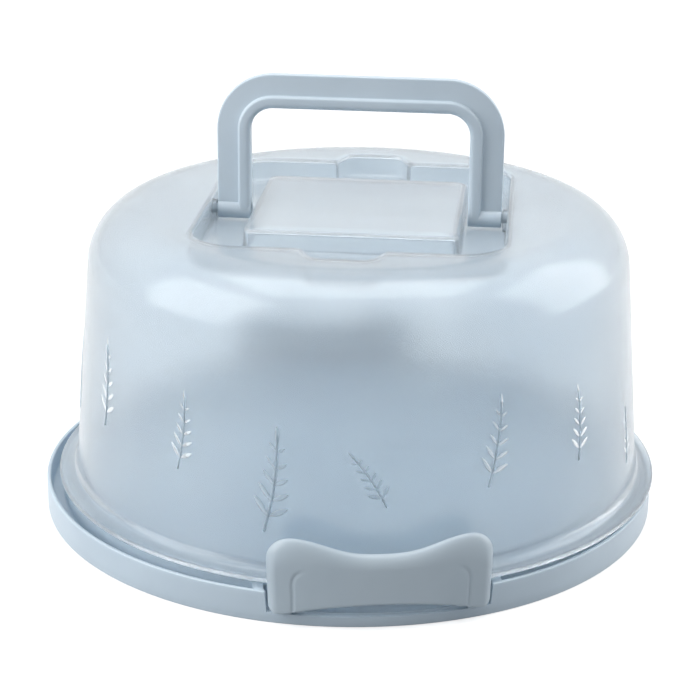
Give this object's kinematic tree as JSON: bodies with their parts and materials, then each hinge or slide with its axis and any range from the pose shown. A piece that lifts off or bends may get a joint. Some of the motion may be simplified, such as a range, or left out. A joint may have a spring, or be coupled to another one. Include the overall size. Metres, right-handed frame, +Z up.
{
  "type": "cake carrier",
  "caption": "Round cake carrier: shallow tray, frosted dome lid that lifts off, folding carry handle in a recess on top, and two hinged latches.",
  "frame": {"origin": "on the table, under the middle of the tray", "axes": "+Z up out of the lid; the front latch is at -Y and the rear latch at +Y; +X to the right when the front latch faces the viewer"},
  "size_m": [0.3062, 0.313, 0.214],
  "materials": {
    "tray_plastic": "injection-moulded pale blue polypropylene, satin",
    "lid_plastic": "translucent frosted blue polypropylene, satin gloss",
    "handle_plastic": "injection-moulded pale blue polypropylene, satin",
    "latch_plastic": "injection-moulded pale blue polypropylene, satin"
  },
  "bodies": {
    "tray": {"tray": "tray_plastic"},
    "lid": {"lid": "lid_plastic"},
    "handle": {"handle": "handle_plastic"},
    "front_latch": {"front_latch": "latch_plastic"},
    "rear_latch": {"rear_latch": "latch_plastic"}
  },
  "joints": [
    {"name": "lid_lift", "type": "slide", "parent": "tray", "child": "lid", "axis": [0, 0, 1], "range_m": [0, 0.15]},
    {"name": "handle_fold", "type": "hinge", "parent": "lid", "child": "handle", "pos_m": [0.0038, 0, 0.146], "axis": [0.9816, -0.1908, 0], "range_deg": [-90, 90]},
    {"name": "front_latch_swing", "type": "hinge", "parent": "tray", "child": "front_latch", "pos_m": [0, -0.1435, 0.0088], "axis": [1, 0, 0], "range_deg": [-6, 28]},
    {"name": "rear_latch_swing", "type": "hinge", "parent": "tray", "child": "rear_latch", "pos_m": [0, 0.1435, 0.0088], "axis": [-1, 0, 0], "range_deg": [-6, 28]}
  ]
}
